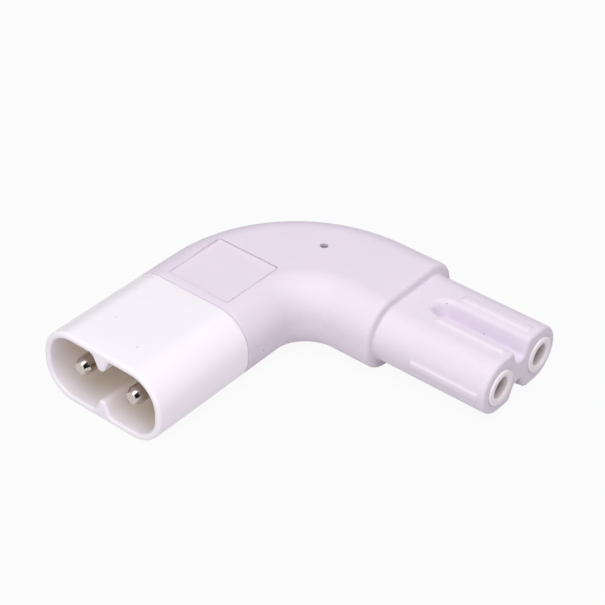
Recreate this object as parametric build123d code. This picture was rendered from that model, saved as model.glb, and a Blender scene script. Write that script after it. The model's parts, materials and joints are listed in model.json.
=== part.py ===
from build123d import *
from math import cos, radians, sin, tan
import os

# Right-angle mains adapter: a figure-eight inlet at one end, an elbow, and a figure-eight plug nose.
# Millimetres, lying flat, +Z up. It is drawn with the centre lines of its two arms crossing at the
# origin, the inlet arm along -Y and the nose arm along +X, then moved to the middle of its footprint.

# Interface shared by both ends
pin_pitch = 8.6
pin_diameter = 2.4

# Flat links between the pins and the contacts
link_width = 1.8
link_thickness = 0.8
link_corner = 6.5
link_seat = 1.8

# Female contacts
sleeve_wall = 0.45
sleeve_clearance = 0.05
socket_depth = 10.0
slit_length = 8.0
slit_width = 0.4

# Contact carrier inside the nose
tube_wall = 0.75
ring_height = 0.3
ring_bevel = 0.2
entry_clearance = 0.3
entry_lead = 0.25
entry_lead_angle = 45.0
front_wall = 1.8
carrier_web = 1.6
plate_lip = 0.5
plate_round = 2.4
plate_thickness = 2.2
plate_cover = 1.4

# Plug nose
nose_length = 16.8
nose_skin = 1.45
nose_side_skin = 1.15
tip_land = 0.55
web_thickness = 3.2
groove_setback = 4.5
groove_rim_bevel = 0.35
groove_floor_width = 1.5
groove_draft = 22.0
groove_floor_round = 0.6

# Crush ribs along the nose
rib_width = 1.0
rib_height = 0.3
rib_length = 10.0
rib_tip_gap = 1.0
rib_near_offset = 2.4
rib_far_offset = 3.25

# Elbow
collar_step = 1.35
collar_bevel = 0.45
collar_land = 0.7
side_flat = 1.0
inner_bend_radius = 3.7
straight_run = 3.2

# Inlet shell
shell_width = 19.3
shell_length = 16.2
shell_wall = 0.95
cavity_depth = 12.8
rim_bevel = 0.3
seam_bevel = 0.2
ridge_base = 3.2
ridge_crest = 0.8
ridge_height = 2.0
ridge_round = 0.5

# Spigot that keys the shell into the elbow
spigot_lip = 1.85
spigot_neck = 1.6
spigot_flange = 2.0
spigot_undercut = 1.0

# Pins
pin_setback = 0.8
pin_tip_flat = 1.55
pin_cone_length = 0.8
root_step = 0.3

# Marks on the top face
label_size = 9.75
label_depth = 0.25
label_gap = 1.4
label_round = 0.3
mark_diameter = 1.1
mark_depth = 0.8
mark_angle = 61.0
mark_offset = 0.8

# Sizes worked out from those above
pin_root_diameter = pin_diameter + 2 * root_step
sleeve_diameter = pin_diameter + 2 * sleeve_wall
bore_diameter = sleeve_diameter + 2 * sleeve_clearance
entry_diameter = pin_diameter + 2 * entry_clearance
tube_diameter = bore_diameter + 2 * tube_wall
nose_height = tube_diameter + 2 * nose_skin
nose_width = pin_pitch + tube_diameter + 2 * nose_side_skin
tip_bevel = nose_side_skin - tip_land
collar_width = nose_width + 2 * (collar_bevel + collar_land)
body_height = nose_height + 2 * collar_step
edge_round = (body_height - side_flat) / 2
mid_height = body_height / 2
half_pitch = pin_pitch / 2
half_shell = shell_width / 2
half_collar = collar_width / 2
mean_half_width = (half_shell + half_collar) / 2
bend_radius = inner_bend_radius + mean_half_width

# Places along the inlet arm, counted from the crossing of the centre lines
spigot_reach = bend_radius + straight_run
seam_reach = spigot_reach + spigot_flange + spigot_neck
mouth_reach = seam_reach + shell_length
floor_reach = mouth_reach - cavity_depth

# Places along the nose arm, counted the same way
plate_reach = bend_radius + straight_run
collar_reach = plate_reach + plate_thickness + plate_cover
tip_reach = collar_reach + nose_length
ring_reach = tip_reach + ring_height
contact_reach = ring_reach - front_wall

plane_tolerance = 0.001


def inlet_plane(reach):
    """Section plane across the inlet arm, facing the mouth."""
    return Plane(origin=(0, -reach, mid_height), x_dir=(1, 0, 0), z_dir=(0, -1, 0))


def nose_plane(reach):
    """Section plane across the nose arm, facing the tip."""
    return Plane(origin=(reach, 0, mid_height), x_dir=(0, 1, 0), z_dir=(1, 0, 0))


def nearest_vertex(shape, x, y):
    """The corner of a flat face that lies nearest to a point."""
    return shape.vertices().sort_by_distance((x, y, 0))[0]


def edges_on(shape, axis, place):
    """The edges that lie wholly in the plane at this place on the axis."""
    return shape.edges().filter_by_position(axis, place - plane_tolerance, place + plane_tolerance)


def make_link(side):
    """Flat strip with two mitred corners, its ends seated in a pin's root and a contact's back."""
    offset = side * half_pitch
    inlet_end = spigot_reach + link_seat
    nose_end = plate_reach + link_seat
    route = Polyline(
        (-offset, -inlet_end, mid_height),
        (-offset, offset - link_corner, mid_height),
        (link_corner - offset, offset, mid_height),
        (nose_end, offset, mid_height),
    )
    strip = inlet_plane(inlet_end) * Pos(-offset, 0) * Rectangle(link_width, link_thickness)
    return sweep(strip, route, transition=Transition.RIGHT)


def make_pin(side, link):
    """Turned pin: blunt cone tip, round shank and a thicker moulded-in root, cut for the link's end."""
    tip = -(mouth_reach - pin_setback)
    root = -floor_reach
    profile = Polyline(
        (0, tip),
        (pin_tip_flat / 2, tip),
        (pin_diameter / 2, tip + pin_cone_length),
        (pin_diameter / 2, root),
        (pin_root_diameter / 2, root),
        (pin_root_diameter / 2, -spigot_reach),
        (0, -spigot_reach),
        close=True,
    )
    pin = revolve(make_face(profile), Axis.Y)
    return Pos(-side * half_pitch, 0, mid_height) * pin - link


def ridge_face(side):
    """Keying ridge that stands in from the cavity's top (side 1) or bottom (side -1)."""
    wall_line = side * (mid_height - shell_wall / 2)
    crest_line = side * (mid_height - shell_wall - ridge_height)
    half_base = ridge_base / 2
    half_crest = ridge_crest / 2
    outline = Polyline(
        (-half_base, wall_line),
        (-half_crest, crest_line),
        (half_crest, crest_line),
        (half_base, wall_line),
        close=True,
    )
    face = make_face(outline)
    crest = [nearest_vertex(face, x, crest_line) for x in (-half_crest, half_crest)]
    return fillet(crest, ridge_round)


def make_inlet_shell(inside):
    """Cup with two keying ridges, and a flanged spigot behind it moulded round both pin roots."""
    section = RectangleRounded(shell_width, body_height, edge_round)
    shell = extrude(inlet_plane(seam_reach) * section, shell_length)
    cavity_width = shell_width - 2 * shell_wall
    cavity_height = body_height - 2 * shell_wall
    cavity = RectangleRounded(cavity_width, cavity_height, edge_round - shell_wall)
    cavity = cavity - ridge_face(1) - ridge_face(-1)
    shell = shell - extrude(inlet_plane(floor_reach) * cavity, cavity_depth)
    shell = chamfer(edges_on(shell, Axis.Y, -mouth_reach), rim_bevel)
    shell = chamfer(edges_on(shell, Axis.Y, -seam_reach), seam_bevel)
    flange_width = pin_pitch + pin_root_diameter + 2 * spigot_lip
    flange_height = pin_root_diameter + 2 * spigot_lip
    flange = Rectangle(flange_width, flange_height)
    neck_width = flange_width - 2 * spigot_undercut
    neck_height = flange_height - 2 * spigot_undercut
    neck = Rectangle(neck_width, neck_height)
    shell = shell + extrude(inlet_plane(seam_reach) * neck, -spigot_neck)
    shell = shell + extrude(inlet_plane(spigot_reach) * flange, spigot_flange)
    for piece in inside:
        shell = shell - piece
    return shell


def make_contact(side, link):
    """Turned socket, slit into two spring fingers at the front and cut for the link's end at the back."""
    front = nose_plane(contact_reach) * Pos(side * half_pitch, 0)
    sleeve = extrude(front * Circle(sleeve_diameter / 2), plate_reach - contact_reach)
    socket = extrude(front * Circle(pin_diameter / 2), -socket_depth)
    slit = extrude(front * Rectangle(slit_width, 2 * sleeve_diameter), -slit_length)
    return sleeve - socket - slit - link


def make_carrier_blank():
    """Outside of the carrier: two tubes on a web and an anchoring plate at the back."""
    plate_width = pin_pitch + tube_diameter + 2 * plate_lip
    plate_height = tube_diameter + 2 * plate_lip
    plate = RectangleRounded(plate_width, plate_height, plate_round)
    blank = extrude(nose_plane(plate_reach) * plate, plate_thickness)
    for side in (-1, 1):
        end = nose_plane(ring_reach) * Pos(side * half_pitch, 0)
        tube = extrude(end * Circle(tube_diameter / 2), plate_reach - ring_reach)
        blank = blank + chamfer(edges_on(tube, Axis.X, ring_reach), ring_bevel)
    web_length = tip_reach - 2 * tip_bevel - plate_reach
    web = extrude(nose_plane(plate_reach) * Rectangle(pin_pitch, carrier_web), web_length)
    return blank + web


def make_carrier():
    """Carrier with a stepped hole down each tube: the contact's bore, then the narrower pin entry."""
    carrier = make_carrier_blank()
    mouth_diameter = entry_diameter + 2 * entry_lead * tan(radians(entry_lead_angle))
    for side in (-1, 1):
        centre = Pos(side * half_pitch, 0)
        bore = nose_plane(plate_reach) * centre * Circle(bore_diameter / 2)
        entry = nose_plane(contact_reach) * centre * Circle(entry_diameter / 2)
        mouth = nose_plane(ring_reach) * centre * Circle(mouth_diameter / 2)
        carrier = carrier - extrude(bore, contact_reach - plate_reach)
        carrier = carrier - extrude(entry, front_wall)
        carrier = carrier - extrude(mouth, -entry_lead, taper=entry_lead_angle)
    return carrier


def make_bend():
    """The elbow's bent body: its plan outline raised to full height, with the long edges rounded."""
    outline = Polyline(
        (-half_shell, -seam_reach),
        (-half_shell, half_collar),
        (collar_reach, half_collar),
        (collar_reach, -half_collar),
        (half_shell, -half_collar),
        (half_shell, -seam_reach),
        close=True,
    )
    plan = make_face(outline)
    plan = fillet(nearest_vertex(plan, -half_shell, half_collar), bend_radius + mean_half_width)
    plan = fillet(nearest_vertex(plan, half_shell, -half_collar), inner_bend_radius)
    bend = extrude(plan, body_height)
    end_edges = edges_on(bend, Axis.Y, -seam_reach) + edges_on(bend, Axis.X, collar_reach)
    long_edges = edges_on(bend, Axis.Z, 0) + edges_on(bend, Axis.Z, body_height) - end_edges
    bend = fillet(long_edges, edge_round)
    return chamfer(edges_on(bend, Axis.X, collar_reach), collar_bevel)


def half_turn(shape):
    """The same shape turned half round the nose's axis."""
    return Pos(0, 0, mid_height) * Rot(180, 0, 0) * Pos(0, 0, -mid_height) * shape


def groove_cutter():
    """Tapered groove above the web, round at its inner end and open at the nose's tip."""
    floor_height = mid_height + web_thickness / 2
    depth = mid_height + nose_height / 2 - floor_height
    length = nose_length - groove_setback
    centre_x = collar_reach + groove_setback + groove_floor_width / 2 + length
    floor = Pos(centre_x, 0, floor_height) * SlotCenterToCenter(2 * length, groove_floor_width)
    cutter = extrude(floor, depth, taper=-groove_draft)
    return fillet(edges_on(cutter, Axis.Z, floor_height), groove_floor_round)


def make_rib(offset, face_height, turn):
    """One crush rib standing on the nose, at an offset across the face that the turn brings to the top."""
    rib = Box(rib_length, rib_width, 2 * rib_height)
    centre_x = tip_reach - rib_tip_gap - rib_length / 2
    return Pos(centre_x, 0, mid_height) * Rot(turn, 0, 0) * Pos(0, offset, face_height) * rib


def make_nose():
    """Figure-eight nose: a rounded bar with a spooned groove above and below, ribs and a bevelled tip."""
    root = collar_reach - 2 * collar_bevel
    nose = extrude(nose_plane(root) * SlotOverall(nose_width, nose_height), tip_reach - root)
    cutter = groove_cutter()
    nose = nose - cutter - half_turn(cutter)
    groove_depth = (nose_height - web_thickness) / 2
    rim_line = groove_floor_width / 2 + groove_depth * tan(radians(groove_draft))
    for side in (-1, 1):
        flat = edges_on(nose, Axis.Z, mid_height + side * nose_height / 2)
        rim = flat.filter_by(lambda edge: abs(edge.center().Y) < rim_line + plane_tolerance)
        rim = rim.filter_by(lambda edge: edge.center().X > root + plane_tolerance)
        nose = chamfer(rim, groove_rim_bevel)
    nose = chamfer(edges_on(nose, Axis.X, tip_reach), tip_bevel)
    near_rib = make_rib(-rib_near_offset, nose_height / 2, 0)
    far_rib = make_rib(rib_far_offset, nose_height / 2, 0)
    side_rib = make_rib(0, nose_width / 2, 90)
    for rib in (near_rib, far_rib, side_rib):
        nose = nose + rib + half_turn(rib)
    return nose


def make_elbow(inside):
    """Overmoulded elbow and nose skin, formed round everything that it holds."""
    elbow = make_bend() + make_nose()
    label_y = -(seam_reach - label_gap - label_size / 2)
    label = Pos(0, label_y, body_height) * RectangleRounded(label_size, label_size, label_round)
    elbow = elbow - extrude(label, -label_depth)
    mark_radius = bend_radius + mark_offset
    mark_x = bend_radius - mark_radius * cos(radians(mark_angle))
    mark_y = -bend_radius + mark_radius * sin(radians(mark_angle))
    elbow = elbow - extrude(Pos(mark_x, mark_y, body_height) * Circle(mark_diameter / 2), -mark_depth)
    for piece in inside:
        elbow = elbow - piece
    return elbow


# The inner link runs round the inside of the bend, the outer one round the outside.
sides = {"inner": -1, "outer": 1}
links = {name: make_link(side) for name, side in sides.items()}
pins = {name: make_pin(side, links[name]) for name, side in sides.items()}
moulded_in = [*pins.values(), *links.values()]
shell = make_inlet_shell(moulded_in)
nodes = {
    "inlet_shell": shell,
    "elbow_body": make_elbow([shell, make_carrier_blank(), *moulded_in]),
    "contact_carrier": make_carrier(),
}
for name, side in sides.items():
    nodes[f"{name}_pin"] = pins[name]
    nodes[f"{name}_contact"] = make_contact(side, links[name])
    nodes[f"{name}_link"] = links[name]

# The origin goes under the middle of the footprint, on the face that the adapter lies on.
footprint_x = (ring_reach - half_shell) / 2
footprint_y = (half_collar - mouth_reach) / 2
os.makedirs("parts", exist_ok=True)
for name, piece in nodes.items():
    export_step(Pos(-footprint_x, -footprint_y, 0) * piece, f"parts/{name}.step")
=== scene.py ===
import json
import math

import bmesh
import bpy
import numpy as np
from mathutils import Matrix, Vector

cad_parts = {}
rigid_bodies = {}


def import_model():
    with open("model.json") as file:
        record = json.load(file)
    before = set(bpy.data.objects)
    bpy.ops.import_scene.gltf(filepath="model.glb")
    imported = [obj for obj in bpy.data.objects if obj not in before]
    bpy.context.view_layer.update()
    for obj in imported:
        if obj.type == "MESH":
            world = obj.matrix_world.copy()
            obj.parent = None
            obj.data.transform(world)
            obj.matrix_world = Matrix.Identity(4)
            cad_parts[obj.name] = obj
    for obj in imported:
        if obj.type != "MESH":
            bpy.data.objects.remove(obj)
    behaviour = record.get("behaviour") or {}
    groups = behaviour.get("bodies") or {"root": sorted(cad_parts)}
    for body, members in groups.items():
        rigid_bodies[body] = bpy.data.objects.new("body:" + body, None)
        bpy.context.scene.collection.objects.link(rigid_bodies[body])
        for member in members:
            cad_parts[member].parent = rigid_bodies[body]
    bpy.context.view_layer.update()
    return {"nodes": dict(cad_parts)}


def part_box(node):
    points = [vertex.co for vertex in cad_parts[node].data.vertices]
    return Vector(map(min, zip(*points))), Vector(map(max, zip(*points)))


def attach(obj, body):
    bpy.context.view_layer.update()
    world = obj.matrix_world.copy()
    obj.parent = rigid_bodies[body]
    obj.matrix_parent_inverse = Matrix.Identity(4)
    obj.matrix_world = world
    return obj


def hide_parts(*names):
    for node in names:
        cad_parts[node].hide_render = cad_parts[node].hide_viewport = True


# Right-angle figure-eight mains adapter: rigid white inlet shell, soft overmoulded elbow, plug nose.
# Shapes are worked out in millimetres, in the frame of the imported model, and put into meshes in metres.

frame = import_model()
nodes = frame["nodes"]
mm = 0.001
print("frame loaded:", ", ".join(sorted(nodes)))


# Places read from the frame

def nodeBox(name):  # lowest and highest corner of a CAD node, in mm
    low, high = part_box(name)
    return np.array(low) / mm, np.array(high) / mm


sides = ("inner", "outer")
shellLow, shellHigh = nodeBox("inlet_shell")
elbowLow, elbowHigh = nodeBox("elbow_body")
carrierLow, carrierHigh = nodeBox("contact_carrier")
pinLow = nodeBox("inner_pin")[0]
contactHigh = nodeBox("inner_contact")[1]
pinX = {side: sum(box[0] for box in nodeBox(f"{side}_pin")) / 2 for side in sides}
contactY = {side: sum(box[1] for box in nodeBox(f"{side}_contact")) / 2 for side in sides}
inletX = sum(pinX.values()) / 2
noseY = sum(contactY.values()) / 2
topZ = elbowHigh[2]
midZ = topZ / 2
seamY, mouthY, spigotBackY, pinTipY = elbowLow[1], shellLow[1], shellHigh[1], pinLow[1]
tipX, ringX, plateX, contactX = elbowHigh[0], carrierHigh[0], carrierLow[0], contactHigh[0]
halfShell = (shellHigh[0] - shellLow[0]) / 2
halfCollar = elbowHigh[1] - noseY


# Outlines across an arm: whole closed loops of (sideways, upward) points, whole arrays at a time

def quarter(count):  # angles of a quarter turn
    return np.linspace(0, math.pi / 2, count)


def withHalfTurn(half):  # a whole outline from its first half: the rest is the same, turned half round
    return np.concatenate([half, -half], axis=-2)


def aroundSteps(steps, flatShare):  # steps round an outline's side from its top, 1, to its bottom, -1
    upper = np.linspace(1, flatShare, steps + 1)[1:]
    return np.concatenate([upper, [0.0], -upper[::-1]])


def sectionOutlines(halfWidths, halfTall, corner, across, around, flatShare):
    # rounded rectangles, one for each half width: the lines across are spread over the flat, the steps
    # around over a corner, the short flat of the side (their middle share) and the next corner
    flatHalf = np.asarray(halfWidths, float)[:, None] - corner
    turn = np.maximum(abs(around) - flatShare, 0) / (1 - flatShare) * math.pi / 2
    top = np.stack(np.broadcast_arrays(flatHalf * across, halfTall), -1)
    sideways = flatHalf + corner * np.cos(turn)
    upward = np.clip(around / flatShare, -1, 1) * (halfTall - corner)
    upward = upward + np.sign(around) * corner * np.sin(turn)
    sideRun = np.stack(np.broadcast_arrays(sideways, upward), -1)
    return withHalfTurn(np.concatenate([top, sideRun], axis=1))


def outwardNormals(outline):
    # the mean of the unit steps before and after each point, turned a quarter to the left
    after = np.roll(outline, -1, axis=-2) - outline
    after = after / np.linalg.norm(after, axis=-1, keepdims=True)
    step = after + np.roll(after, 1, axis=-2)
    normal = np.stack([-step[..., 1], step[..., 0]], -1)
    return normal / np.linalg.norm(normal, axis=-1, keepdims=True)


def offsetOutlines(outline, amounts):  # one copy of the outline for each amount, moved along its normals
    return outline + outwardNormals(outline) * np.asarray(amounts)[:, None, None]


def drawnIn(outline, reach):  # the outline pulled straight onto its middle line, to close an end
    return np.stack([np.clip(outline[..., 0], -reach, reach), outline[..., 1] * 0], -1)


def flankTurns(shape):  # a flank's lean, a unit round's reach past its corner, and where the flank ends
    lean = math.radians(shape["draft"])
    head = shape["foot"] + (shape["high"] - shape["low"]) * math.tan(lean)
    return lean, math.tan((math.pi / 2 - lean) / 2), head


def flankLevel(distance, shape):
    # a low flat, a round, a straight flank and a second round up to the high flat, all tangent;
    # the flank leans out from the vertical by the draft angle and starts at the foot
    lean, turn, head = flankTurns(shape)
    lowStart = shape["foot"] - shape["lowRound"] * turn
    lowEnd = lowStart + shape["lowRound"] * math.cos(lean)
    highEnd = head + shape["highRound"] * turn
    highStart = highEnd - shape["highRound"] * math.cos(lean)
    lowDip = np.sqrt(np.maximum(shape["lowRound"] ** 2 - (distance - lowStart) ** 2, 0))
    highDip = np.sqrt(np.maximum(shape["highRound"] ** 2 - (highEnd - distance) ** 2, 0))
    return np.select(
        [distance < lowStart, distance < lowEnd, distance < highStart, distance < highEnd],
        [
            shape["low"],
            shape["low"] + shape["lowRound"] - lowDip,
            shape["low"] + (distance - shape["foot"]) / math.tan(lean),
            shape["high"] - shape["highRound"] + highDip,
        ],
        shape["high"],
    )


def flankLines(shape):  # distances at which that flank needs a grid line
    lean, turn, head = flankTurns(shape)
    sweep = np.linspace(0, math.pi / 2 - lean, 8)
    lowLines = shape["foot"] + shape["lowRound"] * (np.sin(sweep) - turn)
    highLines = head + shape["highRound"] * (turn - np.sin(sweep))
    wallLines = np.linspace(lowLines[-1], highLines[-1], 5)
    return np.concatenate([np.linspace(0, lowLines[0], 3), lowLines, wallLines, highLines])


def sortedLines(*groups, apart=0.012):  # all the lines in order, without those nearly on top of each other
    lines = np.unique(np.concatenate(groups))
    return lines[np.concatenate([[True], np.diff(lines) > apart])]


# Outlines and profiles carried to their place

def placed(outlines, centres, directions):  # outlines stood upright, sideways along the directions
    plan = centres[:, None, :] + outlines[..., :1] * directions[:, None, :]
    return np.concatenate([plan, midZ + outlines[..., 1:]], -1)


def acrossInlet(outlines, places):  # one outline for each place along the inlet arm
    return placed(outlines, np.stack([np.full_like(places, inletX), places], -1), np.array([[-1.0, 0.0]]))


def acrossNose(outlines, places, shift=0.0):  # the same along the nose arm, or along one of its two holes
    centres = np.stack([places, np.full_like(places, noseY + shift)], -1)
    return placed(outlines, centres, np.array([[0.0, 1.0]]))


sideFlat = 0.1  # share of the steps round a side that its short flat takes
coarseLines = {"across": np.linspace(-1, 1, 9), "around": aroundSteps(8, sideFlat), "flatShare": sideFlat}


def bar(halfWidth, halfTall, corner, start, end):  # rows of a rounded bar with closed ends
    outline = sectionOutlines([halfWidth], halfTall, corner, **coarseLines)[0]
    closed = drawnIn(outline, halfWidth - corner)
    return np.stack([closed, outline, outline, closed]), np.array([start, start, end, end])


def roundedProfile(corners, radii, steps=6):
    # straight runs, with an arc tangent to both runs in place of each corner between the two ends
    corners = np.array(corners, float)
    rows = [corners[:1]]
    for before, corner, after, radius in zip(corners, corners[1:], corners[2:], radii):
        back = (before - corner) / np.linalg.norm(before - corner)
        ahead = (after - corner) / np.linalg.norm(after - corner)
        half = math.acos(np.clip(back @ ahead, -1, 1)) / 2
        centre = corner + (back + ahead) / np.linalg.norm(back + ahead) * radius / math.sin(half)
        first = corner + back * radius / math.tan(half) - centre
        last = corner + ahead * radius / math.tan(half) - centre
        sweep = math.pi - 2 * half
        turn = np.linspace(0, 1, steps)[:, None] * sweep
        arc = np.sin(sweep - turn) * first + np.sin(turn) * last
        rows.append(centre + arc / math.sin(2 * half))
    rows.append(corners[-1:])
    return np.concatenate(rows)


def turned(profile, axis, centre, steps=64):  # a profile of (radius, place along the axis) carried round it
    angle = np.linspace(0, 2 * math.pi, steps, endpoint=False)
    first = profile[:, :1] * np.cos(angle)
    second = profile[:, :1] * np.sin(angle)
    along = np.broadcast_to(profile[:, 1:], first.shape)
    order = {"x": (along, first, second), "y": (first, along, second), "z": (first, second, along)}
    return np.stack(order[axis], -1) + np.array(centre)


# Meshes

sharpAngle = math.radians(40)
mergeReach = 0.0004 * mm  # points nearer to each other than this are one


def makePiece(name, grid):
    # rows of points in mm, each row closed on itself, with a face between each four neighbours
    rows, columns = grid.shape[:2]
    row = np.arange(rows - 1)[:, None] * columns
    column = np.arange(columns)[None, :]
    beside = (column + 1) % columns
    corners = [row + column, row + beside, row + columns + beside, row + columns + column]
    faces = np.stack(corners, -1).reshape(-1, 4)
    mesh = bpy.data.meshes.new(name)
    mesh.from_pydata((grid.reshape(-1, 3) * mm).tolist(), [], faces.tolist())
    return closedPiece(name, mesh)


def markSharp(work):  # smooth faces, with a crease at each edge that turns by more than the sharp angle
    for face in work.faces:
        face.smooth = True
    for edge in work.edges:
        edge.smooth = edge.calc_face_angle(0) < sharpAngle


def closedPiece(name, mesh):  # merges what meets, turns the faces outwards and puts the mesh in the scene
    work = bmesh.new()
    work.from_mesh(mesh)
    bmesh.ops.remove_doubles(work, verts=work.verts, dist=mergeReach)
    bmesh.ops.dissolve_degenerate(work, edges=work.edges, dist=mergeReach)
    bmesh.ops.recalc_face_normals(work, faces=work.faces)
    markSharp(work)
    work.to_mesh(mesh)
    openEdges = sum(not edge.is_manifold for edge in work.edges)
    work.free()
    piece = bpy.data.objects.new(name, mesh)
    bpy.context.scene.collection.objects.link(piece)
    print(f"{name}: {len(mesh.polygons)} faces, {openEdges} open edges")
    return piece


def nodeCopy(nodeName):  # a merged copy of a CAD node, to cut its seat with
    return closedPiece(f"{nodeName}Seat", nodes[nodeName].data.copy())


def combine(piece, others, operation="DIFFERENCE"):  # cuts the others out of the piece, or joins them to it
    for other in others:
        step = piece.modifiers.new(other.name, "BOOLEAN")
        step.operation = operation
        step.solver = "MANIFOLD"
        step.object = other
    whole = piece.evaluated_get(bpy.context.evaluated_depsgraph_get())
    mesh = bpy.data.meshes.new_from_object(whole)
    piece.modifiers.clear()
    piece.data = mesh
    mesh.materials.clear()
    work = bmesh.new()
    work.from_mesh(mesh)
    bmesh.ops.remove_doubles(work, verts=work.verts, dist=mergeReach)
    markSharp(work)
    work.to_mesh(mesh)
    work.free()
    for other in others:
        bpy.data.objects.remove(other)
    print(f"{piece.name}: {len(mesh.polygons)} faces after {len(others)} steps")
    return piece


def settle(piece, material, nodeName):  # the piece takes its finish and its place in the frame
    piece.data.materials.append(material)
    piece.modifiers.new("flatsShadeFlat", "WEIGHTED_NORMAL").keep_sharp = True
    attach(piece, "root")
    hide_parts(nodeName)


# Materials

def linear(hexColour):  # sRGB hex to linear RGBA
    srgb = np.array([int(hexColour[i:i + 2], 16) for i in (1, 3, 5)]) / 255
    light = np.where(srgb <= 0.04045, srgb / 12.92, ((srgb + 0.055) / 1.055) ** 2.4)
    return (*light.tolist(), 1.0)


def addNode(tree, kind, inputs=None, **settings):  # inputs hold plain values or the sockets to link from
    node = tree.nodes.new(kind)
    for name, value in settings.items():
        setattr(node, name, value)
    for name, value in (inputs or {}).items():
        if isinstance(value, bpy.types.NodeSocket):
            tree.links.new(value, node.inputs[name])
        else:
            node.inputs[name].default_value = value
    return node


def newMaterial(name):
    material = bpy.data.materials.new(name)
    material.use_nodes = True
    material.node_tree.nodes.clear()
    return material, material.node_tree


def mouldedPlastic(name, look):
    # injection moulding: even body colour with slow clouds of a second shade, the fine grain that the
    # tool's eroded steel leaves in the skin, drawn coarser than it is so that it shows, and specks of dust
    material, tree = newMaterial(name)
    place = addNode(tree, "ShaderNodeTexCoord").outputs["Object"]
    cloud = addNode(tree, "ShaderNodeTexNoise", {
        "Vector": place, "Scale": 1 / (look["cloudSize"] * mm), "Detail": 3.0, "Roughness": 0.55})
    grain = addNode(tree, "ShaderNodeTexNoise", {
        "Vector": place, "Scale": 1 / (look["grainSize"] * mm), "Detail": 2.0, "Roughness": 0.6})
    shade = addNode(tree, "ShaderNodeMix", {
        "Factor": cloud.outputs["Fac"], "A": linear(look["colour"]), "B": linear(look["secondColour"])},
        data_type="RGBA").outputs[2]
    for share, tint in look["tints"].items():  # a share kept on the mesh, and the colour that it brings
        spread = addNode(tree, "ShaderNodeAttribute", attribute_name=share)
        shade = addNode(tree, "ShaderNodeMix", {
            "Factor": spread.outputs["Fac"], "A": shade, "B": linear(tint)}, data_type="RGBA").outputs[2]
    for spot, size in look["specks"]:  # each fades out between 0.3 and 0.6 of its size from its middle
        away = addNode(tree, "ShaderNodeVectorMath", {0: place, 1: Vector(spot) * mm}, operation="DISTANCE")
        mark = addNode(tree, "ShaderNodeMapRange", {
            "Value": away.outputs["Value"], "From Min": 0.3 * size * mm, "From Max": 0.6 * size * mm,
            "To Min": look["speckShare"], "To Max": 0.0})
        shade = addNode(tree, "ShaderNodeMix", {
            "Factor": mark.outputs["Result"], "A": shade, "B": linear(look["speckColour"])},
            data_type="RGBA").outputs[2]
    gloss = addNode(tree, "ShaderNodeMapRange", {
        "Value": grain.outputs["Fac"], "To Min": look["roughness"][0], "To Max": look["roughness"][1]})
    relief = addNode(tree, "ShaderNodeBump", {
        "Height": grain.outputs["Fac"], "Distance": look["grainDepth"] * mm, "Strength": 1.0})
    body = addNode(tree, "ShaderNodeBsdfPrincipled", {
        "Base Color": shade, "Roughness": gloss.outputs["Result"], "Normal": relief.outputs["Normal"],
        "IOR": look["ior"], "Subsurface Weight": look["glow"], "Subsurface Radius": look["glowReach"],
        "Subsurface Scale": mm})
    addNode(tree, "ShaderNodeOutputMaterial", {"Surface": body.outputs["BSDF"]})
    return material


def workedMetal(name, look):
    # drawn, rolled or turned metal: fine lines left by the tool, drawn coarser than they are so that they
    # show, and slow clouds of tarnish
    material, tree = newMaterial(name)
    place = addNode(tree, "ShaderNodeTexCoord").outputs["Object"]
    squeeze = addNode(tree, "ShaderNodeMapping", {"Vector": place, "Scale": look["lineDirection"]})
    lines = addNode(tree, "ShaderNodeTexNoise", {
        "Vector": squeeze.outputs["Vector"], "Scale": 1 / (look["lineSize"] * mm), "Detail": 2.0})
    tarnish = addNode(tree, "ShaderNodeTexNoise", {
        "Vector": place, "Scale": 1 / (look["tarnishSize"] * mm), "Detail": 3.0})
    shade = addNode(tree, "ShaderNodeMix", {
        "Factor": tarnish.outputs["Fac"], "A": linear(look["colour"]), "B": linear(look["secondColour"])},
        data_type="RGBA")
    gloss = addNode(tree, "ShaderNodeMapRange", {
        "Value": lines.outputs["Fac"], "To Min": look["roughness"][0], "To Max": look["roughness"][1]})
    relief = addNode(tree, "ShaderNodeBump", {
        "Height": lines.outputs["Fac"], "Distance": look["lineDepth"] * mm, "Strength": 1.0})
    body = addNode(tree, "ShaderNodeBsdfPrincipled", {
        "Base Color": shade.outputs[2], "Metallic": 1.0, "Roughness": gloss.outputs["Result"],
        "Normal": relief.outputs["Normal"]})
    addNode(tree, "ShaderNodeOutputMaterial", {"Surface": body.outputs["BSDF"]})
    return material


elbowPvc = mouldedPlastic("softPvcMouldedMatt", {  # soft and milky: no mirror, edges that let light through
    "colour": "#EBE0EE", "secondColour": "#E6DBE9",
    "cloudSize": 7.0, "grainSize": 0.3, "grainDepth": 0.03,
    "roughness": (0.5, 0.62), "ior": 1.53, "glow": 0.12, "glowReach": (0.7, 0.55, 0.5),
    "tints": {"darkening": "#8F848D"},  # darker in the seam; grey dust along the label's line, with painted shade at its far and inner sides and down in the mark
    "speckColour": "#7F7078", "speckShare": 0.5, "specks": [
        ((-4.01, -3.44, 4.52), 0.22), ((-8.73, -3.76, 10.42), 0.3), ((10.74, 14.82, 8.78), 0.22),
        ((16.83, 14.42, 7.28), 0.22)]})
shellAbs = mouldedPlastic("absMouldedSatin", {  # harder and whiter: a soft sheen from polished steel
    "colour": "#F8F3F9", "secondColour": "#F4EFF6",
    "tints": {"paintedCavityShading": "#FCF1E6", "darkening": "#A79DA6"},  # painted warm bounce light: light comes back warmer from deep in the cavity; darker at the seam
    "cloudSize": 9.0, "grainSize": 0.25, "grainDepth": 0.006,
    "roughness": (0.32, 0.42), "ior": 1.53, "glow": 0.12, "glowReach": (0.8, 0.75, 0.7),
    "speckColour": "#8F8289", "speckShare": 0.3, "specks": [
        ((-16.97, -16.15, 10.5), 0.25), ((-10.97, -18.73, 10.5), 0.35)]})
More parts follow.
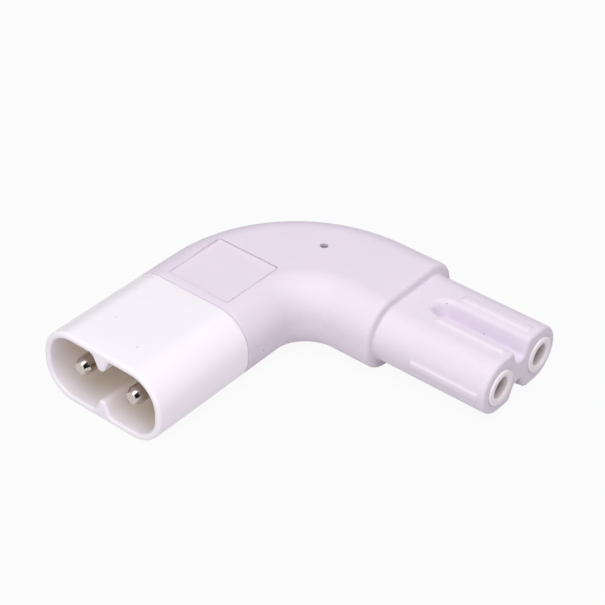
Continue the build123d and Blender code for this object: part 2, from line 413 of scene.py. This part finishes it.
carrierAbs = mouldedPlastic("absMouldedCarrier", {  # the same hard plastic, duller, as the tool left it
    "colour": "#FBF2F7", "secondColour": "#F7EEF3",
    "tints": {"paintedCavityShading": "#B8A29E"},  # painted shade: the holes darken with depth
    "cloudSize": 5.0, "grainSize": 0.25, "grainDepth": 0.005,
    "roughness": (0.45, 0.55), "ior": 1.53, "glow": 0.1, "glowReach": (0.8, 0.7, 0.6), "specks": []})
pinNickel = workedMetal("nickelPlatedTurnedBrass", {  # warm grey mirror, dulled along the turning lines
    "colour": "#CCC4BD", "secondColour": "#C2B8AF", "lineDirection": (0.05, 1, 0.05),
    "lineSize": 0.12, "tarnishSize": 1.5, "lineDepth": 0.001, "roughness": (0.1, 0.2)})
contactBrass = workedMetal("rolledSpringBrass", {  # yellow metal with lines along the strip
    "colour": "#D8B878", "secondColour": "#C9A865", "lineDirection": (0.05, 1, 1),
    "lineSize": 0.15, "tarnishSize": 2.0, "lineDepth": 0.002, "roughness": (0.25, 0.38)})
linkCopper = workedMetal("rolledCopperStrip", {  # red metal, dull from the mill
    "colour": "#D69A7A", "secondColour": "#C98A6A", "lineDirection": (1, 1, 0.1),
    "lineSize": 0.15, "tarnishSize": 2.0, "lineDepth": 0.002, "roughness": (0.3, 0.42)})
finishes = {
    "inlet_shell": shellAbs, "elbow_body": elbowPvc, "contact_carrier": carrierAbs,
    "inner_pin": pinNickel, "outer_pin": pinNickel, "inner_contact": contactBrass,
    "outer_contact": contactBrass, "inner_link": linkCopper, "outer_link": linkCopper}
for nodeName, finish in finishes.items():
    nodes[nodeName].data.materials.clear()
    nodes[nodeName].data.materials.append(finish)
print("materials made")


# Pins: turned, with a blunt cone at the tip and a thicker root moulded into the shell

pinShape = {
    "radius": 1.2, "tipFlat": 0.775, "coneLength": 0.8, "tipRound": 0.1, "coneRound": 0.15,
    "rootRadius": 1.5, "rootRound": 0.05}
cavityShape = {
    "depth": 12.8, "wall": 0.95, "floorRound": 0.3, "rootCover": 0.05, "edgeRound": 4.75,
    "rimOuterRound": 0.45, "rimInnerRound": 0.4, "seamRound": 0.16, "wallRows": 8, "paintedWarmthReach": 4.0}
floorY = mouthY + cavityShape["depth"]


def pinRows(side, backY):  # flat tip, cone, thin part and thicker root, one profile turned round the axis
    tip, thin, root = (pinShape[key] for key in ("tipFlat", "radius", "rootRadius"))
    coneY = pinTipY + pinShape["coneLength"]
    rootY = floorY + cavityShape["rootCover"]
    corners = [
        (0, pinTipY), (tip, pinTipY), (thin, coneY), (thin, rootY),
        (root, rootY), (root, backY), (0, backY)]
    radii = [pinShape["tipRound"], pinShape["coneRound"]] + [pinShape["rootRound"]] * 3
    return turned(roundedProfile(corners, radii), "y", (pinX[side], 0, midZ))


for side in sides:
    pin = combine(makePiece(f"{side}Pin", pinRows(side, spigotBackY)), [nodeCopy(f"{side}_link")])
    settle(pin, pinNickel, f"{side}_pin")
print("pins made")


# Inlet shell: keyed cup with a rolled rim, and the flanged spigot that anchors it in the elbow

ridgeShape = {"low": 2.3, "foot": 0.4, "draft": 26.0, "lowRound": 0.5, "highRound": 0.7}
spigotShape = {"halfWidth": 7.65, "halfTall": 3.35, "flange": 2.0, "undercut": 1.0, "corner": 0.1}
cutterReach = 0.5  # how far a cutter stands past the face that it goes through
onFace = 0.01  # how near to a face a point counts as lying on it


def spigotRows(across, around, flatShare, frontY):  # closed back, flange, step in to the neck, neck
    flange, neck = (
        sectionOutlines(
            [spigotShape["halfWidth"] - step], spigotShape["halfTall"] - step, spigotShape["corner"],
            across, around, flatShare)[0]
        for step in (0, spigotShape["undercut"]))
    stepY = spigotBackY - spigotShape["flange"]
    rows = [drawnIn(flange, spigotShape["halfWidth"] / 2), flange, flange, neck, neck]
    return np.stack(rows), np.array([spigotBackY, spigotBackY, stepY, stepY, frontY])


def makeShell():
    # the outer outline runs from the seam to the mouth, the inner one from the mouth to the floor; on each
    # round an outline moves along its normals as a quarter turn's sine does and along the arm as its cosine
    wall = cavityShape["wall"]
    corner = cavityShape["edgeRound"]
    flatHalf = halfShell - corner
    ridge = ridgeShape | {"high": midZ - wall}
    lines = flankLines(ridge)
    across = sortedLines(-lines, lines, np.linspace(-flatHalf, flatHalf, 11))
    around = aroundSteps(18, sideFlat)
    outer = sectionOutlines([halfShell], midZ, corner, across / flatHalf, around, sideFlat)[0]
    inner = sectionOutlines(
        [halfShell - wall], midZ - wall, corner - wall, across / flatHalf, around, sideFlat)[0]
    # the keying ridge stands in from the flat above, and its half turn from the flat below
    half = len(inner) // 2
    inner[:len(across), 1] = flankLevel(abs(across), ridge)
    inner[half:] = -inner[:half]

    bend = quarter(7)
    seamRound, rimOut, rimIn = (cavityShape[key] for key in ("seamRound", "rimOuterRound", "rimInnerRound"))
    floorRound, wallRows = cavityShape["floorRound"], cavityShape["wallRows"]
    spigot, spigotY = spigotRows(across / flatHalf, around, sideFlat, seamY)
    rows = [
        spigot,
        offsetOutlines(outer, -seamRound * (1 - np.sin(bend))),
        offsetOutlines(outer, np.zeros(wallRows)),
        offsetOutlines(outer, -rimOut * (1 - np.cos(bend))),
        offsetOutlines(inner, rimIn * (1 - np.sin(bend))),
        offsetOutlines(inner, np.zeros(wallRows)),
        offsetOutlines(inner, -floorRound * (1 - np.cos(bend))),
        drawnIn(offsetOutlines(inner, [-floorRound]), flatHalf)]
    places = [
        spigotY,
        seamY - seamRound * (1 - np.cos(bend)),
        np.linspace(seamY - seamRound, mouthY + rimOut, wallRows + 2)[1:-1],
        mouthY + rimOut * (1 - np.sin(bend)),
        mouthY + rimIn * (1 - np.cos(bend)),
        np.linspace(mouthY + rimIn, floorY - floorRound, wallRows + 2)[1:-1],
        floorY - floorRound * (1 - np.sin(bend)),
        [floorY]]
    return makePiece("inletShell", acrossInlet(np.concatenate(rows), np.concatenate(places)))


def paintedWarmLightShare(x, y, z):  # painted warm bounce light: none at the rim, rising over the first stretch of the cavity
    corner = cavityShape["edgeRound"]
    pastFlat = np.hypot(
        np.maximum(abs(x - inletX) - halfShell + corner, 0), np.maximum(abs(z - midZ) - midZ + corner, 0))
    within = (pastFlat < corner - cavityShape["wall"] + onFace) & (y < floorY + onFace)
    return within * np.clip((y - mouthY - cavityShape["rimInnerRound"]) / cavityShape["paintedWarmthReach"], 0, 1)


# how dark each share goes: seam darkening, dust along the label's line, painted shade on the line's far and
# inner sides and down in the mark
dustAndShadeShares = {"seam": 0.25, "line": 0.1, "lineFarShade": 0.75, "lineInnerShade": 0.55, "lineFall": 4, "mark": 0.75}


def seamDarkening(x, y, z):  # darker where shell and elbow meet, none past the small rounds
    return dustAndShadeShares["seam"] * np.clip(1 - abs(y - seamY) / cavityShape["seamRound"], 0, 1)


def keepShare(piece, name, share):  # writes a share worked out from each point's place
    mesh = piece.data
    spots = np.empty(len(mesh.vertices) * 3, np.float32)
    mesh.vertices.foreach_get("co", spots)
    values = share(*(spots.reshape(-1, 3).T / mm)).astype(np.float32)
    mesh.attributes.new(name, "FLOAT", "POINT").data.foreach_set("value", values)


inletShell = makeShell()
pinHoles = [makePiece(f"{side}PinHole", pinRows(side, spigotBackY + cutterReach)) for side in sides]
combine(inletShell, pinHoles)
keepShare(inletShell, "paintedCavityShading", paintedWarmLightShare)
keepShare(inletShell, "darkening", seamDarkening)
settle(inletShell, shellAbs, "inlet_shell")
print("inlet shell made")


# Contacts: slit sockets of spring brass, and the carrier that guides the pins into them

contactShape = {
    "radius": 1.65, "socketRadius": 1.2, "socketDepth": 10.0, "edgeRound": 0.08,
    "slitLength": 8.0, "slitHalf": 0.2, "slitCorner": 0.02}
carrierShape = {
    "tubeRadius": 2.45, "ringRound": 0.2, "tubeBackRound": 0.05,
    "boreRadius": 1.7, "boreRound": 0.02, "entryRadius": 1.5, "lead": 0.25, "leadRound": 0.15,
    "plateHalfWidth": 7.25, "plateHalfTall": 2.95, "plateRound": 2.4, "plateThickness": 2.2,
    "webHalfWidth": 2.2, "webHalfTall": 0.8, "webTipGap": 1.2, "webCorner": 0.05}


def contactCentre(side):  # a point on the axis of one hole
    return (0, contactY[side], midZ)


def makeContact(side):  # a turned cup, slit through from its mouth, with the link's end let into its back
    radius, socket, edge = (contactShape[key] for key in ("radius", "socketRadius", "edgeRound"))
    bottomX = contactX - contactShape["socketDepth"]
    corners = [
        (0, plateX), (radius, plateX), (radius, contactX),
        (socket, contactX), (socket, bottomX), (0, bottomX)]
    profile = roundedProfile(corners, [edge] * 4)
    contact = makePiece(f"{side}Contact", turned(profile, "x", contactCentre(side)))
    slit, slitX = bar(
        contactShape["slitHalf"], 2 * radius, contactShape["slitCorner"],
        contactX - contactShape["slitLength"], contactX + cutterReach)
    slitPiece = makePiece(f"{side}Slit", acrossNose(slit, slitX, contactY[side] - noseY))
    return combine(contact, [slitPiece, nodeCopy(f"{side}_link")])


def tubeRows(side, swell, frontX):  # blind tube from inside the plate to its front
    radius = carrierShape["tubeRadius"] + swell
    startX = plateX + carrierShape["plateThickness"] / 2
    corners = [(0, startX), (radius, startX), (radius, frontX), (0, frontX)]
    profile = roundedProfile(corners, [carrierShape["tubeBackRound"], carrierShape["ringRound"]])
    return turned(profile, "x", contactCentre(side), 96)


def boreRows(side):  # contact's bore, narrower pin entry and its lead-in
    bore, entry, lead, small = (
        carrierShape[key] for key in ("boreRadius", "entryRadius", "lead", "boreRound"))
    backX, frontX = plateX - cutterReach, ringX + cutterReach
    corners = [
        (0, backX), (bore, backX), (bore, contactX), (entry, contactX), (entry, ringX - lead),
        (entry + lead + cutterReach, frontX), (0, frontX)]
    profile = roundedProfile(corners, [small, small, small, carrierShape["leadRound"], small])
    return turned(profile, "x", contactCentre(side), 96)


def carrierBars():  # plate and web, for the carrier itself and for its seat in the elbow
    plate, plateRun = bar(
        carrierShape["plateHalfWidth"], carrierShape["plateHalfTall"], carrierShape["plateRound"],
        plateX, plateX + carrierShape["plateThickness"])
    web, webRun = bar(
        carrierShape["webHalfWidth"], carrierShape["webHalfTall"], carrierShape["webCorner"],
        plateX + carrierShape["plateThickness"] / 2, tipX - carrierShape["webTipGap"])
    return acrossNose(plate, plateRun), acrossNose(web, webRun)


def makeCarrier():  # plate, web and both tubes joined, then the bores cut through them
    plate, web = carrierBars()
    carrier = makePiece("contactCarrier", plate)
    tubes = [makePiece(f"{side}Tube", tubeRows(side, 0, ringX)) for side in sides]
    combine(carrier, [makePiece("carrierWeb", web), *tubes], "UNION")
    return combine(carrier, [makePiece(f"{side}Bore", boreRows(side)) for side in sides])


def paintedBoreShadeShare(x, y, z):  # painted shade: none at the rings, rising down each hole to the contact
    away = np.min([np.hypot(y - contactY[side], z - midZ) for side in sides], axis=0)
    leadX = ringX - carrierShape["lead"]
    return (away < carrierShape["entryRadius"] + onFace) * np.clip((leadX - x) / (leadX - contactX), 0, 1)


for side in sides:
    settle(makeContact(side), contactBrass, f"{side}_contact")
carrier = makeCarrier()
keepShare(carrier, "paintedCavityShading", paintedBoreShadeShare)
settle(carrier, carrierAbs, "contact_carrier")
print("contacts and carrier made")


# Elbow: bent body, collar, figure-eight nose with its grooves and crush ribs, in one closed surface

bodyShape = {
    "edgeRound": 4.75, "innerBend": 3.7, "seamRound": 0.16, "collarRound": 0.55, "noseRootRound": 0.25,
    "bendRows": 49, "runRows": 5}
noseShape = {
    "length": 16.8, "halfHeight": 3.9, "halfWidth": 7.9, "tipRound": 0.45, "seatGap": 0.05,
    "lobeSteps": 17, "runRows": 24}
grooveShape = {
    "setback": 4.5, "low": 1.6, "high": noseShape["halfHeight"], "foot": 0.75, "draft": 22.0,
    "lowRound": 0.8, "highRound": 0.9, "spoonStretch": 1.15}
ribShape = {
    "width": 1.0, "height": 0.25, "edge": 0.4, "length": 10.0, "tipGap": 1.0,
    "nearOffset": -2.4, "farOffset": 3.25}


def ribRise(distance, halfSize):  # 1 inside, 0 outside, an eased step as wide as the rib's edge between
    share = np.clip((halfSize + ribShape["edge"] / 2 - distance) / ribShape["edge"], 0, 1)
    return share * share * (3 - 2 * share)


def edgeLines(place):  # grid lines across one eased rib edge
    return place + np.linspace(-0.5, 0.5, 6) * ribShape["edge"]


def makeElbow():
    # one run of outlines with as many points each: the body's rounded rectangle carried along the bend,
    # then the nose's slot with its groove and ribs; on each round an outline moves along its normals
    radius = noseShape["halfHeight"]
    lobeCentre = noseShape["halfWidth"] - radius
    halfRib = ribShape["width"] / 2
    collarX = tipX - noseShape["length"]

    # lines across the nose's top, and angles round its outer lobe, from the top to the bottom
    ribCentres = [ribShape["nearOffset"], ribShape["farOffset"]]
    ribSides = [centre + way * halfRib for centre in ribCentres for way in (-1, 1)]
    ribLines = np.concatenate([edgeLines(place) for place in ribSides])
    groove = flankLines(grooveShape)
    across = sortedLines(-groove, groove, -ribLines, ribLines, np.linspace(-lobeCentre, lobeCentre, 15))
    across = (across - across[::-1]) / 2  # the same on both sides, so that closed ends meet line for line
    sideEdge = edgeLines(halfRib) / radius
    lobeLines = np.linspace(math.pi / 2, sideEdge[-1], noseShape["lobeSteps"])[1:-1]
    upper = np.concatenate([lobeLines, sideEdge[::-1]])
    lobeTurn = np.concatenate([upper, [0.0], -upper[::-1]])

    def bodyOutlines(halfWidths):  # the body's outline takes as many points, spread in the same order
        return sectionOutlines(
            halfWidths, midZ, bodyShape["edgeRound"], across / lobeCentre, lobeTurn / (math.pi / 2),
            sideEdge[-1] / (math.pi / 2))

    # the groove's end is drawn out to a spoon, with its rim kept in place
    stretch = grooveShape["spoonStretch"]
    spoonHead = flankTurns(grooveShape)[2]
    floorStart = collarX + grooveShape["setback"] + grooveShape["foot"] + (stretch - 1) * spoonHead

    def noseOutlines(stations):
        # long slot outline; the groove is a level by distance from a line that starts at its spooned end,
        # and each rib is a step out from the surface, eased at its sides and its ends
        along = stations[:, None]
        beforeFloor = np.minimum(along - floorStart, 0) / stretch
        level = flankLevel(np.hypot(beforeFloor, across), grooveShape)
        ribMiddle = tipX - ribShape["tipGap"] - ribShape["length"] / 2
        rise = ribShape["height"] * ribRise(abs(along - ribMiddle), ribShape["length"] / 2)
        for centre in ribCentres:
            level = level + rise * ribRise(abs(across - centre), halfRib)
        top = np.stack(np.broadcast_arrays(across, level), -1)
        reach = radius + rise * ribRise(abs(lobeTurn) * radius, halfRib)
        lobe = np.stack([lobeCentre + reach * np.cos(lobeTurn), reach * np.sin(lobeTurn)], -1)
        return withHalfTurn(np.concatenate([top, lobe], axis=1))

    # the body's path: pairs of points on its outer and inner side, run by run
    outerX, innerX = inletX - halfShell, inletX + halfShell
    outerY, innerY = noseY + halfCollar, noseY - halfCollar
    outerBend = bodyShape["innerBend"] + halfShell + halfCollar
    outerPivot = np.array([outerX + outerBend, outerY - outerBend])
    innerPivot = np.array([innerX + bodyShape["innerBend"], innerY - bodyShape["innerBend"]])
    swing = quarter(bodyShape["bendRows"])
    swingDirection = np.stack([-np.cos(swing), np.sin(swing)], -1)
    outerArc = outerPivot + outerBend * swingDirection
    innerArc = innerPivot + bodyShape["innerBend"] * swingDirection
    share = np.linspace(0, 1, bodyShape["runRows"])[:, None]
    seamEnd = seamY + bodyShape["seamRound"]
    collarEnd = collarX - bodyShape["collarRound"]
    outer = np.concatenate([
        np.array([outerX, seamEnd]) * (1 - share) + outerArc[0] * share, outerArc[1:-1],
        outerArc[-1] * (1 - share) + np.array([collarEnd, outerY]) * share])
    inner = np.concatenate([
        np.array([innerX, seamEnd]) * (1 - share) + innerArc[0] * share, innerArc[1:-1],
        innerArc[-1] * (1 - share) + np.array([collarEnd, innerY]) * share])
    span = np.linalg.norm(outer - inner, axis=1)
    body = placed(bodyOutlines(span / 2), (outer + inner) / 2, (outer - inner) / span[:, None])

    # rounded end at the seam, closed across
    bend = quarter(5)
    seamRows = offsetOutlines(bodyOutlines([halfShell])[0], -bodyShape["seamRound"] * (1 - np.sin(bend)))
    seamRows = np.concatenate([drawnIn(seamRows[:1], halfShell / 2), seamRows])
    start = acrossInlet(seamRows, seamY + bodyShape["seamRound"] * np.concatenate([[0], 1 - np.cos(bend)]))

    # collar edge, collar face and the small round at the nose's root
    bend = quarter(9)
    edgeRows = offsetOutlines(bodyOutlines([halfCollar])[0], -bodyShape["collarRound"] * (1 - np.cos(bend)))
    edgeX = collarX - bodyShape["collarRound"] * (1 - np.sin(bend))
    bend = quarter(6)
    rootOutline = noseOutlines(np.array([collarX]))[0]
    rootRows = offsetOutlines(rootOutline, bodyShape["noseRootRound"] * (1 - np.sin(bend)))
    rootX = collarX + bodyShape["noseRootRound"] * (1 - np.cos(bend))

    # nose rows: closer where the groove rises to its end and where the ribs start and stop
    ribEnds = [tipX - ribShape["tipGap"] - ribShape["length"], tipX - ribShape["tipGap"]]
    spoon = floorStart - stretch * groove
    roundX = tipX - noseShape["tipRound"]
    evenRows = np.linspace(rootX[-1], roundX, noseShape["runRows"])
    noseX = sortedLines(spoon, *[edgeLines(place) for place in ribEnds], evenRows)
    between = (noseX > rootX[-1] + onFace) & (noseX < roundX - onFace)
    noseX = np.append(noseX[between], roundX)
    noseRows = noseOutlines(noseX)
    bend = quarter(9)[1:]
    tipRows = offsetOutlines(noseRows[-1], -noseShape["tipRound"] * (1 - np.cos(bend)))
    tipRows = np.concatenate([tipRows, drawnIn(tipRows[-1:], lobeCentre)])
    tipPlaces = roundX + noseShape["tipRound"] * np.append(np.sin(bend), 1)
    plugRows = np.concatenate([edgeRows, rootRows, noseRows, tipRows])
    plug = acrossNose(plugRows, np.concatenate([edgeX, rootX, noseX, tipPlaces]))
    return makePiece("elbow", np.concatenate([start, body, plug]))


labelShape = {
    "size": 9.75, "gap": 1.4, "depth": 0.25, "cornerRound": 0.3,
    "lineWidth": 0.2, "lineDepth": 0.14, "lineLip": 0.03}
markShape = {
    "radius": 0.55, "depth": 0.8, "lipRound": 0.08, "bottomRound": 0.2, "angle": 61.0, "offset": 0.8}
bendRadius = bodyShape["innerBend"] + (halfShell + halfCollar) / 2
markReach = bendRadius + markShape["offset"]
markCentre = (
    inletX + bendRadius - markReach * math.cos(math.radians(markShape["angle"])),
    noseY - bendRadius + markReach * math.sin(math.radians(markShape["angle"])))


def labelCutter():
    # rounded square drawn down in steps: wide above the face, the fine line that the edge of the mould's
    # insert leaves round it, then the wall and the flat floor
    half = labelShape["size"] / 2
    outline = sectionOutlines([half], half, labelShape["cornerRound"], **coarseLines)[0]
    width = labelShape["lineWidth"]
    rows = offsetOutlines(outline, [width, width, width / 2, 0.0, 0.0])
    rows = np.concatenate([drawnIn(rows[:1], half / 2), rows, drawnIn(rows[-1:], half / 2)])
    line, lip, floor = (-labelShape[key] for key in ("lineDepth", "lineLip", "depth"))
    heights = np.array([cutterReach, cutterReach, 0, line, lip, floor, floor])
    centre = np.array([inletX, seamY + labelShape["gap"] + half, topZ])
    level = np.broadcast_to(heights[:, None, None], (*rows.shape[:2], 1))
    return makePiece("labelCutter", np.concatenate([rows, level], -1) + centre)


def markCutter():  # small blind hole with a soft lip and a rounded bottom
    turn = quarter(7)
    radius, depth, lip, corner = (markShape[key] for key in ("radius", "depth", "lipRound", "bottomRound"))
    lipRows = np.stack([radius + lip * (1 - np.sin(turn)), -lip * (1 - np.cos(turn))], -1)
    bottom = np.stack([radius - corner * (1 - np.cos(turn)), corner * (1 - np.sin(turn)) - depth], -1)
    above = [[0, cutterReach], [radius + lip, cutterReach]]
    profile = np.concatenate([above, lipRows, bottom, [[0, -depth]]])
    return makePiece("markCutter", turned(profile, "z", (*markCentre, topZ), 32))


def seatCutters():  # the room that the elbow leaves for what it is moulded round
    spigot, spigotY = spigotRows(**coarseLines, frontY=seamY - cutterReach)
    spigot = np.concatenate([spigot, drawnIn(spigot[-1:], spigotShape["halfWidth"] / 2)])
    plate, web = carrierBars()
    tubes = [
        makePiece(f"{side}TubeSeat", tubeRows(side, noseShape["seatGap"], ringX + cutterReach))
        for side in sides]
    return [
        makePiece("spigotSeat", acrossInlet(spigot, np.append(spigotY, spigotY[-1]))),
        makePiece("plateSeat", plate), makePiece("webSeat", web), *tubes,
        *[nodeCopy(f"{side}_link") for side in sides]]


def elbowDustAndPaintedShade(x, y, z):  # darker in the seam; dust along the label's line, with painted shade heaviest at its far and inner sides; painted shade deepening down the mark
    middleY = seamY + labelShape["gap"] + labelShape["size"] / 2
    farShade = np.clip(0.5 + (y - middleY) / labelShape["size"], 0, 1) ** dustAndShadeShares["lineFall"]
    inner = np.clip(0.5 + (x - inletX) / labelShape["size"], 0, 1) ** dustAndShadeShares["lineFall"]
    lineReach = labelShape["size"] / 2 + labelShape["lineWidth"]
    inLabel = np.maximum(abs(x - inletX), abs(y - middleY)) < lineReach
    onLine = inLabel & (abs(topZ - z - labelShape["lineDepth"]) < onFace)
    # the line's far and inner sides carry painted shade, on top of the dust along it
    line = onLine * np.maximum(
        dustAndShadeShares["line"] + dustAndShadeShares["lineFarShade"] * farShade, dustAndShadeShares["lineInnerShade"] * inner)
    inMark = np.hypot(x - markCentre[0], y - markCentre[1]) < markShape["radius"] + onFace
    # painted shade: darker with depth down the mark
    mark = inMark * (z > midZ) * dustAndShadeShares["mark"] * (topZ - z) / markShape["depth"]
    return np.maximum(seamDarkening(x, y, z), np.maximum(line, mark))


elbow = makeElbow()
combine(elbow, [labelCutter(), markCutter(), *seatCutters()])
keepShare(elbow, "darkening", elbowDustAndPaintedShade)
settle(elbow, elbowPvc, "elbow_body")
print("elbow made")


# Camera, floor and light

cameraView = {
    "aim": (-4.5, 4.793, 7.053), "distance": 231.0, "azimuth": 37.77, "elevation": 36.92, "roll": 2.09,
    "focalPixels": 1816.9, "imagePixels": 605, "sensorWidth": 36.0}


def makeCamera(view):
    azimuth, elevation, roll = (math.radians(view[key]) for key in ("azimuth", "elevation", "roll"))
    back = Vector((math.sin(azimuth) * math.cos(elevation), -math.cos(azimuth) * math.cos(elevation),
                   math.sin(elevation)))
    level = Vector((math.cos(azimuth), math.sin(azimuth), 0))
    upright = back.cross(level)
    right = level * math.cos(roll) + upright * math.sin(roll)
    up = upright * math.cos(roll) - level * math.sin(roll)
    data = bpy.data.cameras.new("photoCamera")
    data.sensor_width = view["sensorWidth"]
    data.lens = view["focalPixels"] / view["imagePixels"] * view["sensorWidth"]
    data.clip_start = 0.01
    data.clip_end = 10.0
    camera = bpy.data.objects.new("photoCamera", data)
    bpy.context.scene.collection.objects.link(camera)
    turn = Matrix((right, up, back)).transposed().to_4x4()
    spot = (Vector(view["aim"]) + back * view["distance"]) * mm
    camera.matrix_world = Matrix.Translation(spot) @ turn
    bpy.context.scene.camera = camera


def seenDirectly(tree):  # 1 for what the camera, a reflection or a clear material sees, else 0
    ray = addNode(tree, "ShaderNodeLightPath").outputs
    seen = ray["Is Camera Ray"]
    for kind in ("Is Glossy Ray", "Is Transmission Ray"):
        seen = addNode(tree, "ShaderNodeMath", {0: seen, 1: ray[kind]}, operation="MAXIMUM").outputs[0]
    return seen


def flatSheet(name, halfSizes, spot, turn, material):  # plain sheet of the studio, not part of the object
    mesh = bpy.data.meshes.new(name)
    corners = np.array([(-1, -1, 0), (1, -1, 0), (1, 1, 0), (-1, 1, 0)]) * np.array([*halfSizes, 0]) * mm
    mesh.from_pydata(corners.tolist(), [], [(0, 1, 2, 3)])
    mesh.materials.append(material)
    sheet = bpy.data.objects.new(name, mesh)
    bpy.context.scene.collection.objects.link(sheet)
    sheet.matrix_world = Matrix.Translation(Vector(spot) * mm) @ turn
    return sheet


floorLook = {"halfSizes": (600.0, 600.0), "colour": "#D0CFD0", "whiteShare": 0.93}


def makeFloor(look):
    material, tree = newMaterial("matteWhiteSweep")  # painted paper, mixed with the white of the backdrop
    share = addNode(tree, "ShaderNodeMath", {
        0: seenDirectly(tree), 1: look["whiteShare"]}, operation="MULTIPLY")
    paper = addNode(tree, "ShaderNodeBsdfDiffuse", {"Color": linear(look["colour"])})
    white = addNode(tree, "ShaderNodeEmission", {"Color": (1, 1, 1, 1), "Strength": 1.0})
    mixed = addNode(tree, "ShaderNodeMixShader", {
        "Fac": share.outputs[0], 1: paper.outputs[0], 2: white.outputs[0]})
    addNode(tree, "ShaderNodeOutputMaterial", {"Surface": mixed.outputs[0]})
    flatSheet("studioFloor", look["halfSizes"], (0, 0, 0), Matrix.Identity(4), material)


cardLooks = {
    "darkCard": {  # beside the camera, seen by reflections alone: the black stripe on the pins' cones
        "halfSizes": (130.0, 190.0), "direction": (0.78, -0.28, 0.55), "distance": 300.0,
        "colour": "#17131A", "shades": False},
    "darkFlag": {  # behind on the left, out of the picture: holds light off the far edges
        "halfSizes": (180.0, 42.0), "direction": (-0.75, 0.62, 0.14), "distance": 160.0,
        "colour": "#1E1B20", "shades": True}}


def makeCards(looks):
    for name, look in looks.items():
        material, tree = newMaterial(f"{name}Felt")  # black felt, so that it gives nothing back
        felt = addNode(tree, "ShaderNodeBsdfDiffuse", {"Color": linear(look["colour"])})
        addNode(tree, "ShaderNodeOutputMaterial", {"Surface": felt.outputs[0]})
        away = Vector(look["direction"]).normalized()
        spot = Vector((inletX, mouthY, midZ)) + away * look["distance"]
        turn = away.to_track_quat("Z", "Y").to_matrix().to_4x4()
        card = flatSheet(name, look["halfSizes"], spot, turn, material)
        card.visible_camera = card.visible_transmission = False
        card.visible_diffuse = card.visible_shadow = look["shades"]


worldLook = {"ambient": 0.45, "colour": "#FCFAFD"}


def makeWorld(look):
    world = bpy.data.worlds.new("whiteStudio")
    bpy.context.scene.world = world
    world.use_nodes = True
    tree = world.node_tree
    tree.nodes.clear()
    strength = addNode(tree, "ShaderNodeMapRange", {
        "Value": seenDirectly(tree), "To Min": look["ambient"], "To Max": 1.0})
    sky = addNode(tree, "ShaderNodeBackground", {
        "Color": linear(look["colour"]), "Strength": strength.outputs[0]})
    addNode(tree, "ShaderNodeOutputWorld", {"Surface": sky.outputs[0]})


lampLook = {
    "overheadBox": {"place": (65, -90, 405), "size": 420.0, "power": 1.22, "colour": "#FFFFFF"},
    "frontBox": {"place": (50, -300, 110), "size": 220.0, "power": 0.21, "colour": "#FFFFFF"},
    "shellFill": {  # low beside the shell and for it alone, lilac like the light that the elbow throws back
        "place": (75, -45, 8), "size": 60.0, "power": 0.0105, "colour": "#FFCCFF", "only": "inletShell"}}


def makeLamps(looks):
    aim = Vector((0, 0, midZ))
    for name, look in looks.items():
        data = bpy.data.lights.new(name, "AREA")
        data.size = look["size"] * mm
        data.energy = look["power"]
        data.color = linear(look["colour"])[:3]
        lamp = bpy.data.objects.new(name, data)
        bpy.context.scene.collection.objects.link(lamp)
        place = Vector(look["place"])
        turn = (place - aim).to_track_quat("Z", "Y").to_matrix().to_4x4()
        lamp.matrix_world = Matrix.Translation(place * mm) @ turn
        if "only" in look:
            lit = bpy.data.collections.new(f"{name}Lit")
            lit.objects.link(bpy.data.objects[look["only"]])
            lamp.light_linking.receiver_collection = lit


makeCamera(cameraView)
makeFloor(floorLook)
makeCards(cardLooks)
makeWorld(worldLook)
makeLamps(lampLook)
bpy.context.scene.view_settings.view_transform = "Standard"
print("camera, floor and light made")
